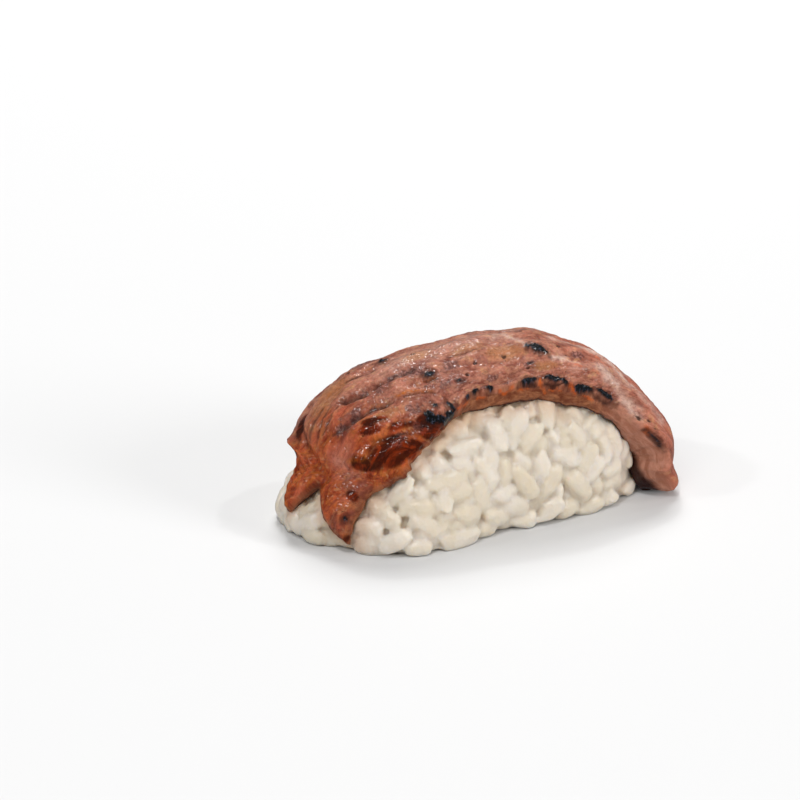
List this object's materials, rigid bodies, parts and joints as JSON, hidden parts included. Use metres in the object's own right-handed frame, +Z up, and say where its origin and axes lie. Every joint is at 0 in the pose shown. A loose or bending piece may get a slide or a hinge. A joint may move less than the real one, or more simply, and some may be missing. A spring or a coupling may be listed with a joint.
{
  "type": "seared beef nigiri sushi",
  "caption": "Pressed ball of short-grain rice with one thin slice of seared beef draped over it, hanging free at one end.",
  "frame": {"origin": "middle of the piece's outline at the table it stands on", "axes": "+X along the slice, towards the end where it hangs free; the rice shows most on the side that faces -Y; +Z up"},
  "size_m": [0.059, 0.0332, 0.0244],
  "materials": {
    "rice": "moist cooked rice, slightly glossy and translucent",
    "beef": "seared meat, moist, with dark char and a brown glaze"
  },
  "bodies": {
    "root": {"rice": "rice", "beef": "beef"}
  },
  "joints": []
}
